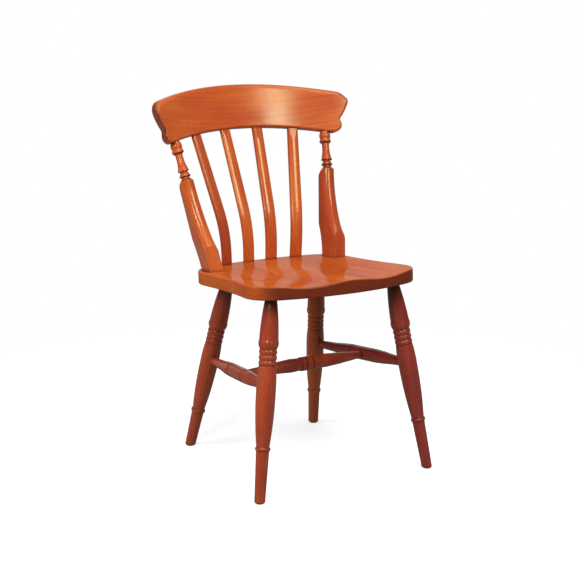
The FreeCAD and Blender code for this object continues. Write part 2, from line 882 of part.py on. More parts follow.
def slat_parts(number, row, side):
    name = f"slat_{number}"
    x = getattr(S, f"{row}_slat_x").value * side
    turn = math.radians(getattr(S, f"{row}_slat_turn").value)
    base = on_seat(x, getattr(S, f"{row}_slat_y").value)
    target = under_crest(getattr(S, f"{row}_slat_top").value * side)
    placement = upright(base, Vector(math.sin(turn) * side, math.cos(turn), 0), target)
    local = placement.inverse().multVec(target)
    lean = math.atan2(local.y, local.z - S.slat_bend_rise.value)
    bend = S.slat_bend_radius
    half = S.slat_thickness / 2
    low = S.slat_bend_rise - bend * math.tan(lean / 2)
    reach = math.hypot(local.y, local.z - S.slat_bend_rise.value)
    top = S.slat_top_depth + reach

    up = Vector(0, math.sin(lean), math.cos(lean))
    forward = Vector(0, -math.cos(lean), math.sin(lean))

    def bar(label, gap, foot, extra):
        """Bent oval bar, planed flat at its top in front, and wider all round by a gap."""
        body = new_body(label)
        body.Placement = placement
        leaning = FreeCAD.Rotation(Vector(1, 0, 0), -math.degrees(lean))

        def oval(place, width, spot, shift=ZERO):
            """Section of two flat arcs and two round ones that run into each other."""
            wide = width / 2 + gap
            thick = half + gap
            crown = S.slat_crown + gap
            tip = (crown * thick * 2 - wide * wide - thick * thick) / ((crown - wide) * 2)
            x = crown * (wide - tip) / (crown - tip)
            y = tip * (crown - thick) / (crown - tip)
            sketch = sketch_on(body, f"{label}_{place}", "XY_Plane")
            sketch.AttachmentOffset = spot
            draw(sketch, [(-x, -(shift + y)), (x, -(shift + y)), (x, y - shift), (-x, y - shift)],
                 {0: crown, 1: tip, 2: crown, 3: tip})
            return sketch

        foot_oval = oval("foot", S.slat_width, Placement(Vector(0, 0, -foot.value), FLAT))
        padded(body, foot_oval, f"{label}_foot_pad", low + foot, symmetric=False)
        bend_oval = oval("bend", S.slat_width, Placement(Vector(0, bend.value, low.value), FLAT), bend)
        bending = body.newObject("PartDesign::Revolution", f"{label}_bending")
        bending.Profile = bend_oval
        bending.ReferenceAxis = (bend_oval, ["H_Axis"])
        bending.Angle = math.degrees(lean)
        bending.Reversed = True
        corner = Vector(0, 0, S.slat_bend_rise.value)
        straight = body.newObject("PartDesign::AdditiveLoft", f"{label}_straight")
        straight.Profile = oval(
            "above", S.slat_width, Placement(corner + up * (S.slat_bend_rise - low).value, leaning))
        straight.Sections = [
            oval("tip", S.slat_top_width, Placement(corner + up * (top + extra).value, leaning))]
        straight.Ruled = True

        flat_start = local - up * S.slat_flat_length.value + forward * (half + gap).value
        flat_face = forward * S.slat_flat_length.value + up * S.slat_flat_depth.value
        plane = box(
            f"{label}_plane", S.slat_width * 2, (S.slat_flat_length + S.slat_top_depth + PAST) * 2,
            sized(PAST), along(placement.multVec(flat_start), placement.Rotation.multVec(flat_face)))
        return cut(f"{label}_planed", body, [plane])

    node(name, bar(f"{name}_bar", ZERO, S.slat_foot_depth, ZERO))
    room = bar(f"{name}_room", S.fit_gap, S.slat_foot_depth + S.end_gap, S.end_gap)
    seat_sockets.append(room)
    crest_sockets.append(room)


for number, (row, side) in enumerate(
        (("outer", 1), ("inner", 1), ("inner", -1), ("outer", -1)), start=1):
    slat_parts(number, row, side)

# Crest rail: a curved board sawn to an arched outline with eared ends

band = new_body("crest_band")
band.Placement = CREST
plan = sketch_on(band, "crest_plan", "XY_Plane")
front_radius = S.crest_radius - S.crest_thickness / 2
rear_radius = S.crest_radius + S.crest_thickness / 2
reach = S.crest_ear_reach + PAST
front_y = root(front_radius * front_radius - reach * reach) - S.crest_radius
rear_y = root(rear_radius * rear_radius - reach * reach) - S.crest_radius
draw(plan, [(reach, front_y), (reach, rear_y), (-reach, rear_y), (-reach, front_y)],
     {1: rear_radius, 3: -front_radius})
padded(band, plan, "crest_band_pad", S.crest_tall * 3)

outline = new_body("crest_outline")
outline.Placement = CREST
face = sketch_on(outline, "crest_face", "XZ_Plane")
right_end = [
    (S.crest_lobe_reach, -sagitta(S.crest_arch, S.crest_lobe_reach)),
    (S.crest_notch_reach, -S.crest_notch_drop),
    (S.crest_ear_reach, S.crest_tall - sagitta(S.crest_arch, S.crest_ear_reach)),
]
left_end = [(-x, y) for x, y in reversed(right_end)]
draw(face, right_end + left_end, {
    1: S.crest_ear_bow, 2: S.crest_arch, 3: S.crest_ear_bow, 5: -S.crest_arch})
shaped = padded(outline, face, "crest_outline_pad", S.crest_radius)
doc.recompute()
for part_name in ("lobe", "notch", "ear"):
    reach = getattr(S, f"crest_{part_name}_reach").value
    corners_here = edge_names(shaped.Shape, lambda edge: edge.BoundBox.YLength > S.crest_tall.value
                              and abs(abs(middle(edge).x) - reach) < TOUCH)
    shaped = dress(outline, "Fillet", f"crest_{part_name}_rounding", shaped, corners_here,
                   Radius=getattr(S, f"crest_{part_name}_round"))
crest_blank = common("crest_blank", band, outline)


def crest_face_edge(edge):
    point = CREST.inverse().multVec(middle(edge))
    from_axis = math.hypot(point.x, point.y + S.crest_radius.value)
    return abs(abs(from_axis - S.crest_radius.value) - S.crest_thickness.value / 2) < TOUCH


def crest_round(point):
    """Full along the front of the top, and less at the ends, below and behind."""
    place = CREST.inverse().multVec(point)
    in_front = place.y < -sagitta(S.crest_radius, sized(place.x)).value
    on_top = abs(S.crest_tall.value - sagitta(S.crest_arch, sized(place.x)).value - place.z) < TOUCH
    return S.crest_top_round if in_front and on_top else S.crest_edge_round


crest_shaped = rounded("crest_shaped", crest_blank, crest_face_edge, crest_round)
node("crest_rail", cut("crest_mortised", crest_shaped, crest_sockets))

# Seat: the glued blank, saddled, rounded and bored, then parted at its glue lines

seat = new_body("seat_blank")
seat.Placement = SEAT
plan = sketch_on(seat, "seat_plan", "XY_Plane")
draw(plan, [
    (S.seat_front_half, -S.seat_front_corner),
    (S.seat_rear_half, S.seat_rear_corner),
    (-S.seat_rear_half, S.seat_rear_corner),
    (-S.seat_front_half, -S.seat_front_corner),
], {0: -S.seat_side_hollow, 1: S.seat_rear_bow, 2: -S.seat_side_hollow, 3: S.seat_front_bow})
plank = padded(seat, plan, "seat_plank", S.seat_thickness, symmetric=False)
plank.Reversed = True
doc.recompute()


def upright_edge(edge):
    return edge.BoundBox.XLength < TOUCH and edge.BoundBox.YLength < TOUCH


front_round = dress(
    seat, "Fillet", "seat_front_rounding", plank,
    edge_names(plank.Shape, lambda edge: upright_edge(edge) and middle(edge).y < 0),
    Radius=S.seat_front_round)
dress(
    seat, "Fillet", "seat_rear_rounding", front_round,
    edge_names(front_round.Shape, lambda edge: upright_edge(edge) and middle(edge).y > 0),
    Radius=S.seat_rear_round)


def hollow_depth(x, y):
    """How deep the saddled top lies at a place of the blank: two bowls that run out at the front."""
    across = (abs(x) - S.hollow_offset.value) / S.hollow_half_width.value
    along_y = y + S.hollow_place.value
    share = 1.0
    away = across ** 2
    if along_y > 0:
        away += (along_y / S.hollow_rear_reach.value) ** 2
    else:
        loss = 1 - (S.hollow_front_depth / S.hollow_depth).value
        share -= loss * (along_y / S.hollow_front_reach.value) ** 2
    return S.hollow_depth.value * share * max(0.0, 1 - away) ** 3


def stations(reach):
    """Evenly spaced places from -reach to reach, about a hollow step apart."""
    steps = math.ceil((reach / S.hollow_step).value)
    return [reach.value * step / steps for step in range(-steps, steps + 1)]


front_reach = S.seat_front_corner + sagitta(S.seat_front_bow, S.seat_front_half) + PAST
top_face = Part.BSplineSurface()
top_face.interpolate([
    [Vector(x, y, -(hollow_depth(x, y) + S.fit_gap.value)) for y in stations(front_reach)]
    for x in stations(S.seat_front_half + PAST)])
saddle = doc.addObject("Part::Feature", "seat_saddle")
saddle.Shape = top_face.toShape().extrude(Vector(0, 0, S.seat_thickness.value))
saddle.Placement = SEAT
saddled = cut("seat_saddled", seat, [saddle])


def rim_edge(edge):
    """Edges round the top and the underside, which run along the rim and not up it."""
    ends = [SEAT.inverse().multVec(vertex.Point) for vertex in edge.Vertexes]
    return abs(ends[0].z - ends[-1].z) < S.seat_edge_round.value


seat_shaped = rounded("seat_shaped", saddled, rim_edge, lambda point: S.seat_edge_round)
seat_bored = cut("seat_bored", seat_shaped, seat_sockets)
seams = [
    -(S.seat_front_half + PAST), -S.board_joint_outer, -S.board_joint_inner,
    S.board_joint_inner, S.board_joint_outer, S.seat_front_half + PAST]
for number, (start, end) in enumerate(zip(seams, seams[1:]), start=1):
    centre = (start.value + end.value) / 2
    slab = box(f"seat_board_{number}_slab", end - start, S.seat_front_bow * 2, S.seat_thickness * 3,
               moved(SEAT, x=centre, z=-2 * S.seat_thickness.value))
    node(f"seat_board_{number}", common(f"seat_board_{number}_part", seat_bored, slab))

# Hidden fasteners, one node for each kind

for label, pieces in (("post_screws", screws), ("crest_pins", crest_pins)):
    group = doc.addObject("Part::Compound", f"{label}_group")
    group.Links = pieces
    node(label, group)

doc.recompute()
for thing in doc.Objects:
    if "Invalid" in thing.State or "Error" in thing.State:
        raise RuntimeError(f"{thing.Label}: {thing.State}")
for label, thing in nodes.items():
    if thing.Shape.isNull() or not thing.Shape.isValid():
        raise RuntimeError(f"{label}: shape is not valid")

os.makedirs("parts", exist_ok=True)
for label, thing in nodes.items():
    thing.Shape.exportStep(f"parts/{label}.step")
    reach = thing.Shape.BoundBox
    print(f"{label}: {len(thing.Shape.Solids)} solid(s), "
          f"x {reach.XMin:.1f}..{reach.XMax:.1f} y {reach.YMin:.1f}..{reach.YMax:.1f} "
          f"z {reach.ZMin:.1f}..{reach.ZMax:.1f}")
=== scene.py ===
# %% [markdown]
# A slat back chair, finished in Blender.
#
# The chair's pieces come from the construction model at their real size: five seat boards,
# four turned legs, three stretchers, two posts, four slats and a crest rail, with nylon glides,
# screws and pins that hardly show. Blender adds what the construction model leaves out,
# which is the stained wood, its lacquer, the floor, the light and the camera.
# All lengths are metres. The chair faces -Y, its left side is +X and the floor is Z = 0.

# %% Load the chair
import math
import random

import bpy
import numpy as np
from mathutils import Euler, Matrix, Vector


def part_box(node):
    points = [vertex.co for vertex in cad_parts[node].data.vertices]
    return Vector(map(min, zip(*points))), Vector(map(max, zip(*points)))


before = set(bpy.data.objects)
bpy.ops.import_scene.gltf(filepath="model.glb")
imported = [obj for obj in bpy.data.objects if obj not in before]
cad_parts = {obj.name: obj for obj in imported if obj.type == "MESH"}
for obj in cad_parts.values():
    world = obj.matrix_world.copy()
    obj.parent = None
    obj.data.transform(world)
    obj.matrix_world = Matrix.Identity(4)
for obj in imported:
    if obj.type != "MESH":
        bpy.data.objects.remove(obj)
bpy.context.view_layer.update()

scene = bpy.context.scene
print("pieces loaded:", len(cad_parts))

# %% [markdown]
# The camera comes first, because everything after it is judged through it.
# A camera can be placed by hand until the picture agrees. Here it is worked out instead: the
# picture is 584 pixels square, a long lens sees the chair from its front right, a little above
# the seat, and the distance follows from how strongly the near legs look larger than the far ones.

# %% Place the camera
photo_pixels = 584
focal_pixels = 1445.9
camera_turn = math.radians(-30.8)
camera_rise = math.radians(12.84)
camera_distance = 3.282
look_at = Vector((-0.0009, -0.0155, 0.3892))


def direction_from(turn, rise):
    """Unit vector from the chair outwards: turn 0 is straight ahead of the sitter."""
    return Vector((
        math.sin(turn) * math.cos(rise),
        -math.cos(turn) * math.cos(rise),
        math.sin(rise)))


def aim(thing, target):
    thing.rotation_euler = (target - thing.location).to_track_quat("-Z", "Y").to_euler()


lens = bpy.data.cameras.new("photo_camera")
lens.sensor_width = 36
lens.lens = lens.sensor_width * focal_pixels / photo_pixels
camera = bpy.data.objects.new("photo_camera", lens)
camera.location = look_at + direction_from(camera_turn, camera_rise) * camera_distance
aim(camera, look_at)
scene.collection.objects.link(camera)
scene.camera = camera
print(f"camera at {tuple(round(value, 3) for value in camera.location)}, lens {lens.lens:.1f} mm")

# %% [markdown]
# Materials are made of nodes, and a node tree gets long when every link takes a line.
# A few small helpers keep the recipes short: one adds a node and fills its sockets, and the
# others name the sums, mixes and ramps that every finish uses.
# A socket takes either a plain value or the output of another node.

# %% Helpers for node recipes


def add(tree, kind, sockets=None, **settings):
    """Adds a node, sets its options, and fills sockets given by name or by number."""
    made = tree.nodes.new(kind)
    for option, value in settings.items():
        setattr(made, option, value)
    for key, value in (sockets or {}).items():
        socket = made.inputs[key]
        if isinstance(value, bpy.types.NodeSocket):
            tree.links.new(value, socket)
        else:
            socket.default_value = value
    return made


def calculate(tree, operation, first, second=0.0, third=0.0):
    return add(tree, "ShaderNodeMath", {0: first, 1: second, 2: third}, operation=operation).outputs[0]


def vector_sum(tree, operation, first, second):
    return add(tree, "ShaderNodeVectorMath", {0: first, 1: second}, operation=operation)


def remap(tree, value, low, high, new_low=0.0, new_high=1.0):
    sockets = {"Value": value, "From Min": low, "From Max": high, "To Min": new_low, "To Max": new_high}
    return add(tree, "ShaderNodeMapRange", sockets, interpolation_type="SMOOTHSTEP").outputs[0]


def blend(tree, share, first, second):
    """Mixes two colours by a share from 0 to 1."""
    return add(tree, "ShaderNodeMix", {0: share, 6: first, 7: second}, data_type="RGBA").outputs[2]


def noise(tree, places, size, detail=2.0, roughness=0.5):
    """Soft noise whose lumps are about a size across, in the unit of the places."""
    sockets = {"Vector": places, "Scale": 1 / size, "Detail": detail, "Roughness": roughness}
    return add(tree, "ShaderNodeTexNoise", sockets).outputs[0]


def chair_places(tree):
    """Places on the chair, in metres from the point of the floor under its middle."""
    return add(tree, "ShaderNodeTexCoord").outputs["Object"]


def surface_normal(tree):
    return add(tree, "ShaderNodeNewGeometry").outputs["Normal"]


def stain(red, green, blue):
    """Colour as read off a screen, 0 to 255, turned into the linear values that nodes use."""
    shares = [value / 255 for value in (red, green, blue)]
    linear = [share / 12.92 if share <= 0.04045 else ((share + 0.055) / 1.055) ** 2.4
              for share in shares]
    return (*linear, 1)


def new_finish(name):
    finish = bpy.data.materials.new(name)
    finish.use_nodes = True
    finish.node_tree.nodes.clear()
    return finish


def finished(tree, shader):
    add(tree, "ShaderNodeOutputMaterial", {"Surface": shader.outputs[0]})


# %% [markdown]
# Wood is not the same in every direction, so each piece needs to know which way its grain runs.
# A turner or joiner always lays the grain along the length, and the length can be measured:
# it is the direction in which the piece's points are spread the widest.
# The seat boards run from front to back with the seat's own tilt.

# %% Find how the grain runs
seat_tilt = math.radians(4.1)
seat_grain = Vector((0, math.cos(seat_tilt), -math.sin(seat_tilt)))
heart_away, heart_aside, heart_along = (0.03, 0.07), (-0.05, 0.05), (0, 1)


def piece_points(node):
    return np.array([vertex.co[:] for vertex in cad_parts[node].data.vertices])


def grain_direction(node):
    if node.startswith("seat_board"):
        return seat_grain
    places = piece_points(node)
    spread = places - places.mean(axis=0)
    _, directions = np.linalg.eigh(spread.T @ spread)
    longest = Vector(directions[:, -1])
    return longest if longest.z >= 0 else -longest


def straight_grain(tree, node, chance):
    """Grain places with Z along the piece, and how squarely the surface cuts the grain."""
    grain = grain_direction(node)
    low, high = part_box(node)
    turn = grain.rotation_difference(Vector((0, 0, 1))).to_euler()
    heart = Vector([chance.uniform(*reach) for reach in (heart_away, heart_aside, heart_along)])
    shift = heart - Euler(turn).to_matrix() @ ((low + high) / 2)
    places = add(tree, "ShaderNodeMapping", {
        "Vector": chair_places(tree), "Location": shift, "Rotation": turn}).outputs[0]
    return places, vector_sum(tree, "DOT_PRODUCT", surface_normal(tree), grain).outputs["Value"]


for node in ("leg_front_left", "post_left", "stretcher_cross"):
    print(node, "grain runs along", tuple(round(value, 3) for value in grain_direction(node)))

# %% [markdown]
# The crest rail is bent, so straight grain would run out through its face at both ends.
# A bender steams such a board and its grain follows the curve. Here the same is done to the
# places: they are measured round an axis that leans with the back and stands in front of the rail,
# so that a length along the arc takes the part of a length along a straight piece.

# %% Bend the grain of the crest rail
crest_lean = math.radians(18.8)
crest_bend = 0.430
crest_middle = Vector((0, 0.2246, 0.7378))
crest_heart_away = 0.03, 0.06


def bent_grain(tree, chance):
    """What straight_grain gives, measured round the bend of the crest rail."""
    turn = Euler((crest_lean, 0, 0))
    shift = Vector((0, crest_bend, 0)) - turn.to_matrix() @ crest_middle
    level = add(tree, "ShaderNodeMapping", {
        "Vector": chair_places(tree), "Location": shift, "Rotation": turn}).outputs[0]
    split = add(tree, "ShaderNodeSeparateXYZ", {0: level}).outputs
    angle = calculate(tree, "ARCTAN2", split[0], split[1])
    flat = add(tree, "ShaderNodeCombineXYZ", {0: split[0], 1: split[1]}).outputs[0]
    radius = vector_sum(tree, "LENGTH", flat, flat).outputs["Value"]
    length = calculate(tree, "MULTIPLY", angle, crest_bend)
    heart = chance.uniform(*crest_heart_away) - crest_bend
    across = calculate(tree, "ADD", radius, heart)
    places = add(tree, "ShaderNodeCombineXYZ", {0: across, 1: split[2], 2: length}).outputs[0]
    square = add(tree, "ShaderNodeMapping", {
        "Vector": surface_normal(tree), "Rotation": turn}).outputs[0]
    tangent = vector_sum(tree, "CROSS_PRODUCT", flat, (0, 0, 1)).outputs["Vector"]
    unit = vector_sum(tree, "NORMALIZE", tangent, tangent).outputs["Vector"]
    return places, vector_sum(tree, "DOT_PRODUCT", square, unit).outputs["Value"]


print(f"crest rail: grain bent to a radius of {crest_bend} m")

# %% [markdown]
# The wood is a close grained hardwood under an orange brown stain.
# An image of wood would show the same knots on every leg and smear on the turned rings.
# A recipe in three dimensions has neither fault: growth rings are cylinders round the heart of
# the tree, streaks and pores are noise drawn out along the grain, and every piece is cut
# from its own place in the same imagined plank. Stain soaks deeper into pores and end grain,
# so both are darker.

# %% Grain and stain
ring_width, ring_wander = 0.0031, 0.012
wave_pace = 20
wander_size, wander_length = 0.03, 9
streak_width, streak_length = 0.0045, 30
pore_width, pore_length = 0.0006, 40
fleck_width, fleck_length = 0.0009, 6
blotch_size, blotch_length = 0.07, 3
ring_weight, streak_weight, blotch_weight = -0.12, 0.5, 0.8
tone_range = 0.25, 0.92
pore_range, pore_darkness = (0.56, 0.72), 0.35
fleck_range, fleck_darkness = (0.62, 0.74), 0.4
end_range, end_darkness = (0.3, 0.95), 0.85


def stretched(tree, places, along):
    """Places squeezed along the grain, so that a pattern on them is drawn out that many times."""
    return add(tree, "ShaderNodeMapping", {"Vector": places, "Scale": (1, 1, 1 / along)}).outputs[0]


def growth_rings(tree, places):
    """Rings round the heart, made uneven by slow noise; 0 is early wood and 1 is late wood."""
    drift = add(tree, "ShaderNodeTexNoise", {
        "Vector": stretched(tree, places, wander_length), "Scale": 1 / wander_size, "Detail": 2})
    centred = vector_sum(tree, "SUBTRACT", drift.outputs["Color"], (0.5, 0.5, 0.5)).outputs[0]
    small = vector_sum(tree, "MULTIPLY", centred, (ring_wander, ring_wander, 0)).outputs[0]
    moved = vector_sum(tree, "ADD", places, small).outputs[0]
    # The wave texture runs through this pace in radians for each unit, times its scale.
    return add(tree, "ShaderNodeTexWave", {
        "Vector": moved, "Scale": 2 * math.pi / (wave_pace * ring_width)},
        wave_type="RINGS", rings_direction="Z", wave_profile="SAW").outputs[1]


def wood_patterns(tree, places):
    return {
        "rings": growth_rings(tree, places),
        "streaks": noise(tree, stretched(tree, places, streak_length), streak_width, 3),
        "pores": noise(tree, stretched(tree, places, pore_length), pore_width, 1),
        "flecks": noise(tree, stretched(tree, places, fleck_length), fleck_width, 0),
        "blotches": noise(tree, stretched(tree, places, blotch_length), blotch_size, 2),
    }


def pore_share(tree, patterns):
    return calculate(tree, "MULTIPLY", remap(tree, patterns["pores"], *pore_range), pore_darkness)


def stained_grain(tree, patterns, end_on, colours):
    """Colour of new stained wood, from its patterns and from how squarely the grain is cut."""
    pale, mid, dark, end = colours
    tone = calculate(tree, "MULTIPLY", patterns["rings"], ring_weight)
    tone = calculate(tree, "MULTIPLY_ADD", patterns["streaks"], streak_weight, tone)
    tone = calculate(tree, "MULTIPLY_ADD", patterns["blotches"], blotch_weight, tone)
    stops = add(tree, "ShaderNodeValToRGB", {"Fac": remap(tree, tone, *tone_range)})
    stops.color_ramp.elements[0].color = dark
    stops.color_ramp.elements[1].color = pale
    stops.color_ramp.elements.new(0.5).color = mid
    colour = blend(tree, pore_share(tree, patterns), stops.outputs[0], dark)
    flecks = remap(tree, patterns["flecks"], *fleck_range)
    colour = blend(tree, calculate(tree, "MULTIPLY", flecks, fleck_darkness), colour, end)
    squarely = calculate(tree, "ABSOLUTE", end_on)
    end_share = calculate(tree, "MULTIPLY", remap(tree, squarely, *end_range), end_darkness)
    return blend(tree, end_share, colour, end)


print(f"growth rings {1000 * ring_width:.1f} mm wide, pores {1000 * pore_width:.1f} mm")

# %% [markdown]
# Stain gathers in the grooves of the turned rings, and painted shade darkens them further. The legs get
# painted shade high up, where the seat shelters them, and hands and cleaning rub the edges a little
# paler. None of this has to be painted on by hand. An ambient occlusion node measures how open the air
# is round a point, within a short reach for grooves and a longer one for the corner under the seat. A
# bevel node softens the edges, and where it turns the surface there is an edge.

# %% Grooves, corners and rubbed edges
# Gathered stain and painted shade darken the grooves.
groove_reach, groove_range, groove_stain_and_shade = 0.010, (0.35, 0.92), 0.75
# Reach, range, heights and colour of the painted shade under the seat.
seat_shade_reach, seat_shade_range = 0.12, (0.5, 1.0)
seat_shade_heights = 0.20, 0.34
seat_shade_colour = stain(44, 22, 20)
edge_rub, edge_range, free_range = 0.0014, (0.995, 0.9), (0.7, 0.95)
rub_paleness = 0.3


def open_air(tree, reach):
    return add(tree, "ShaderNodeAmbientOcclusion", {"Distance": reach}, samples=6).outputs["AO"]


def shaded_and_worn_colour(tree, colour, colours, grime, soft_edges):
    """The colour with gathered stain and painted shade in the grooves, painted shade under the seat, and
    paler rubbed edges.
    """
    pale, _, _, end = colours
    near_air = open_air(tree, groove_reach)
    # Darker in the grooves: gathered stain and painted shade.
    colour = blend(tree, remap(tree, near_air, *groove_range, groove_stain_and_shade, 0.0), colour, end)

    # Painted shade under the seat: darker high up the legs, where the air is closed in.
    rise = add(tree, "ShaderNodeSeparateXYZ", {0: chair_places(tree)}).outputs[2]
    below_seat_shade = remap(tree, rise, *seat_shade_heights, 0.0, grime)
    occluded_shade = remap(tree, open_air(tree, seat_shade_reach), *seat_shade_range, 1.0, 0.0)
    colour = blend(tree, calculate(tree, "MULTIPLY", occluded_shade, below_seat_shade), colour, seat_shade_colour)

    bend = vector_sum(tree, "DOT_PRODUCT", soft_edges, surface_normal(tree)).outputs["Value"]
    at_edge = remap(tree, bend, *edge_range)
    rubbed = calculate(tree, "MULTIPLY", at_edge, remap(tree, near_air, *free_range))
    return blend(tree, calculate(tree, "MULTIPLY", rubbed, rub_paleness), colour, pale)


print(f"grooves darken within {1000 * groove_reach:.0f} mm, corners within {1000 * seat_shade_reach:.0f} mm")

# %% [markdown]
# Last comes the lacquer. It has yellowed, so its reflections are tinted: the tint belongs to
# the highlight and not to the wood. The seat is polished by use, and there a clear coat over dull
# wood mirrors the slats behind it. The pores sink in a little, which breaks up the highlights.
# How strongly a piece shines is one plain value for its kind, and how sharply varies a little over
# the piece, because the blotches and pores took more of the lacquer in.

# %% Lacquer
yellowed = (0.85, 1.0, 0.72, 1)
polish_roughness = 0.13
blotch_range, blotch_dullness = (0.3, 0.7), 0.08
pore_dullness = 0.3
grain_depth, grain_strength = 0.0006, 0.10
streak_height, pore_height = 0.6, -0.4


def wood_finish(node, colours, gloss, seed):
    """Stained and lacquered wood for one piece, cut from its own place in the plank."""
    finish = new_finish(f"{node}_wood")
    tree = finish.node_tree
    chance = random.Random(seed)
    if node == "crest_rail":
        places, end_on = bent_grain(tree, chance)
    else:
        places, end_on = straight_grain(tree, node, chance)
    patterns = wood_patterns(tree, places)
    soft_edges = add(tree, "ShaderNodeBevel", {"Radius": edge_rub}, samples=4).outputs[0]
    new_colour = stained_grain(tree, patterns, end_on, colours)

    smooth = gloss["smooth"]
    dullness = remap(tree, patterns["blotches"], *blotch_range, smooth, smooth + blotch_dullness)
    dullness = calculate(tree, "MULTIPLY_ADD", pore_share(tree, patterns), pore_dullness, dullness)
    sunk = calculate(tree, "MULTIPLY", patterns["pores"], pore_height)
    height = calculate(tree, "MULTIPLY_ADD", patterns["streaks"], streak_height, sunk)
    surface = add(tree, "ShaderNodeBump", {
        "Strength": grain_strength, "Distance": grain_depth,
        "Height": height, "Normal": soft_edges}).outputs[0]
    finished(tree, add(tree, "ShaderNodeBsdfPrincipled", {
        "Base Color": shaded_and_worn_colour(tree, new_colour, colours, gloss["grime"], soft_edges),
        "Roughness": dullness,
        "Specular IOR Level": gloss["specular"],
        "Specular Tint": yellowed,
        "Coat Weight": gloss["coat"],
        "Coat Roughness": polish_roughness,
        "Coat Normal": surface,
        "Normal": surface}))
    return finish


print(f"lacquer: bump of {1000 * grain_depth:.1f} mm at strength {grain_strength}")

# %% [markdown]
# One stain was brushed on the whole chair. The seat, the slats and the crest rail get it as a bright
# orange brown, and the turned pieces get redder, deeper colours. A few single pieces get colours of
# their own: slat_4, the front left leg and the left side stretcher are darker, which is painted shade,
# the rear left leg is lighter, which is painted light, and the right post takes the lighter orange of
# the slats.
# So each kind of piece has four colours, for pale wood, middling wood, dark wood and end grain,
# and a gloss. A loop gives every piece its own finish from them. The first word in the list
# that fits a piece's name is used, so a single piece is named before its kind.

# %% Stain every wooden piece
end_grain = stain(90, 33, 25)
orange = (stain(207, 107, 44), stain(191, 87, 41), stain(170, 66, 38), end_grain)
# A darker copy of orange for slat_4, which faces away from the lamps: painted shade.
shaded_russet = (stain(187, 90, 46), stain(171, 73, 43), stain(151, 56, 40), end_grain)
amber = (stain(200, 106, 42), stain(186, 89, 38), stain(168, 72, 35), end_grain)
tan = (stain(197, 100, 46), stain(183, 80, 43), stain(163, 62, 40), end_grain)
red = (stain(181, 81, 48), stain(163, 66, 45), stain(142, 51, 42), end_grain)
# A darker copy of red for the front left leg and the left side stretcher: painted shade.
shaded_deep_red = (stain(160, 63, 50), stain(140, 49, 47), stain(118, 39, 44), end_grain)

# The last value of each gloss sets how dark the painted shade under the seat is.
polished = {"smooth": 0.45, "specular": 0.0, "coat": 0.36, "grime": 0.0}
satin = {"smooth": 0.21, "specular": 0.66, "coat": 0.0, "grime": 0.0}
brushed = {"smooth": 0.15, "specular": 0.66, "coat": 0.0, "grime": 0.0}
turned = {"smooth": 0.15, "specular": 0.55, "coat": 0.0, "grime": 0.9}

wood_kinds = {
    "crest_rail": (orange, satin),
    # slat_4 gets darker colours than the other slats: painted shade.
    "slat_4": (shaded_russet, brushed),
    "slat": (orange, brushed),
    "seat_board": (amber, polished),
    "post_right": (orange, brushed),
    "post": (tan, brushed),
    # The front left leg takes the darker red: painted shade.
    "leg_front_left": (shaded_deep_red, turned),
    # The rear left leg takes the lighter tan instead of red: painted light.
    "leg_rear_left": (tan, turned),
    "leg": (red, turned),
    # The left side stretcher takes the darker red: painted shade.
    "stretcher_side_left": (shaded_deep_red, turned),
    "stretcher": (red, turned),
}
steel_nodes = ("post_screws", "crest_pins")


def dress(node, finish):
    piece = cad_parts[node]
    for place in range(max(1, len(piece.material_slots))):
        if place < len(piece.data.materials):
            piece.data.materials[place] = finish
        else:
            piece.data.materials.append(finish)


wooden = []
for seed, node in enumerate(sorted(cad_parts), start=1):
    kind = next((word for word in wood_kinds if node.startswith(word)), None)
    if kind is not None and node not in steel_nodes:
        dress(node, wood_finish(node, *wood_kinds[kind], seed))
        wooden.append(node)
print("stained pieces:", len(wooden))

# %% [markdown]
# A nylon glide sits under each foot on a pin of its own, so that the chair slides without
# scratching the floor. Nylon is pale and dull, and the floor scuffs it. Scratches could be drawn
# one by one, but fine noise in the colour, the gloss and the height reads as the same wear
# at this size.

# %% Nylon glides
scuff_size, scuff_depth, scuff_strength = 0.0015, 0.0002, 0.2
scuff_range, dull_range = (0.4, 0.7), (0.3, 0.7)
nylon_dullness = 0.45, 0.65
clean_nylon, scuffed_nylon = stain(206, 198, 182), stain(150, 138, 120)


def nylon_finish():
    finish = new_finish("glide_nylon_finish")
    tree = finish.node_tree
    scuffs = noise(tree, chair_places(tree), scuff_size, 4, 0.6)
    surface = add(tree, "ShaderNodeBump", {
        "Strength": scuff_strength, "Distance": scuff_depth, "Height": scuffs})
    finished(tree, add(tree, "ShaderNodeBsdfPrincipled", {
        "Base Color": blend(tree, remap(tree, scuffs, *scuff_range), clean_nylon, scuffed_nylon),
        "Roughness": remap(tree, scuffs, *dull_range, *nylon_dullness),
        "Normal": surface.outputs[0]}))
    return finish


nylon = nylon_finish()
glides = [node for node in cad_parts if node.startswith("glide")]
for node in glides:
    dress(node, nylon)
print("glides:", glides)

# %% [markdown]
# Two screws hold the posts from under the seat, and a pin behind each end of the crest rail
# holds it on the posts. Only their heads show. Plated steel is metallic, so its colour is the
# colour of its reflections, and fine noise in the gloss keeps it from looking like a mirror.

# %% Steel screws and pins
wear_size, wear_range = 0.0008, (0.35, 0.7)
steel_dullness = 0.25, 0.5
bright_steel, dull_steel = stain(196, 192, 182), stain(138, 132, 122)


def steel_finish():
    finish = new_finish("fastener_steel_finish")
    tree = finish.node_tree
    wear = noise(tree, chair_places(tree), wear_size, 4, 0.6)
    finished(tree, add(tree, "ShaderNodeBsdfPrincipled", {
        "Base Color": blend(tree, remap(tree, wear, *wear_range), bright_steel, dull_steel),
        "Metallic": 1.0,
        "Roughness": remap(tree, wear, *dull_range, *steel_dullness)}))
    return finish


steel = steel_finish()
for node in steel_nodes:
    dress(node, steel)
print("steel pieces:", steel_nodes)

